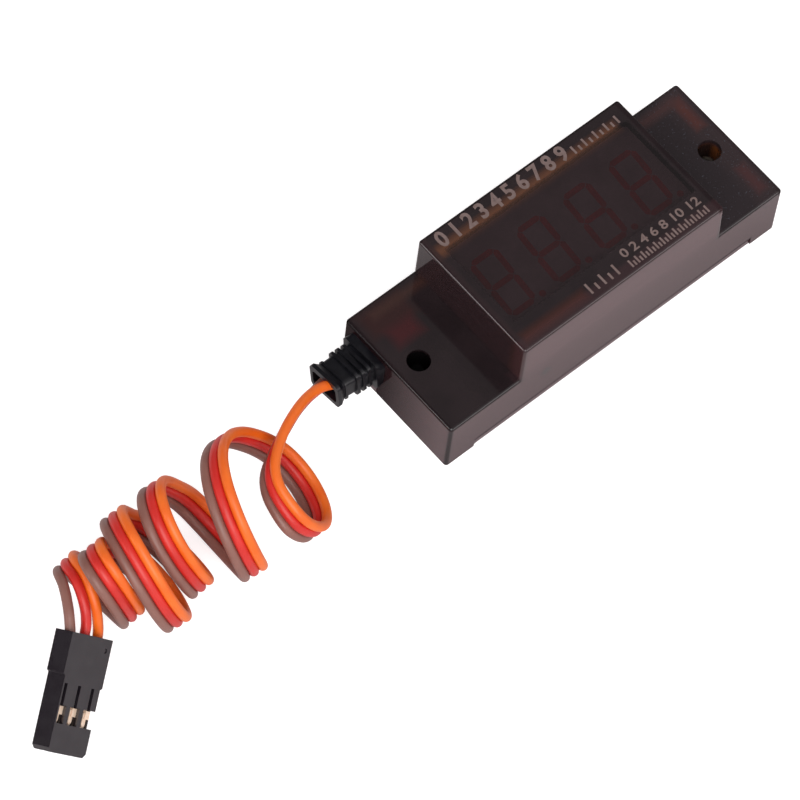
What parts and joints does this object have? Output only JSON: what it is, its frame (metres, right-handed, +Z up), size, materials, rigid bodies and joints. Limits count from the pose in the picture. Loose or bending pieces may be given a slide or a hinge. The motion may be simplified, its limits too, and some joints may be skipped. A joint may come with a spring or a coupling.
{
  "type": "ignition tachometer",
  "caption": "Small smoked-plastic engine speed counter with a red digital display, screw ears and a curled ribbon lead ending in a flat plug.",
  "frame": {"origin": "middle of the case's underside, at the height of the surface it stands on", "axes": "+X along the case away from the lead, +Y across it towards the side of the strain relief, +Z up through the display"},
  "size_m": [0.1177, 0.0227, 0.0178],
  "materials": {
    "smoked_shell": "polished, dark smoke tint",
    "smoked_cover": "polished, dark smoke tint",
    "board_laminate": "solder mask",
    "display_body": "matt grey face",
    "segment_resin": "dark red diffusing resin",
    "tinned_metal": "bright tin",
    "chip_epoxy": "moulded epoxy",
    "tantalum_resin": "moulded resin",
    "crystal_can": "plated lid",
    "resistor_body": "glazed",
    "ceramic_body": "fired ceramic",
    "orange_insulation": "satin PVC",
    "red_insulation": "satin PVC",
    "brown_insulation": "satin PVC",
    "lead_insulation": "satin PVC",
    "relief_rubber": "satin moulded",
    "plug_nylon": "moulded",
    "contact_plating": "pale gold plating"
  },
  "bodies": {
    "root": {"housing_shell": "smoked_shell", "base_cover": "smoked_cover", "circuit_board": "board_laminate", "display_case": "display_body", "display_segments": "segment_resin", "display_pins": "tinned_metal", "microcontroller_leads": "tinned_metal", "regulator_leads": "tinned_metal", "transistor_leads": "tinned_metal", "diode_leads": "tinned_metal", "capacitor_leads": "tinned_metal", "chip_end_caps": "tinned_metal", "solder_joints": "tinned_metal", "microcontroller": "chip_epoxy", "voltage_regulator": "chip_epoxy", "digit_transistors": "chip_epoxy", "input_diode": "chip_epoxy", "filter_capacitor": "tantalum_resin", "crystal": "crystal_can", "chip_resistors": "resistor_body", "chip_capacitors": "ceramic_body", "orange_wire_end": "orange_insulation", "red_wire_end": "red_insulation", "brown_wire_end": "brown_insulation", "lead_exit": "lead_insulation", "lead_curl": "lead_insulation", "lead_tail": "lead_insulation", "plug_wire_ends": "lead_insulation", "strain_relief": "relief_rubber", "plug_housing": "plug_nylon", "plug_contact_1": "contact_plating", "plug_contact_2": "contact_plating", "plug_contact_3": "contact_plating"}
  },
  "joints": []
}
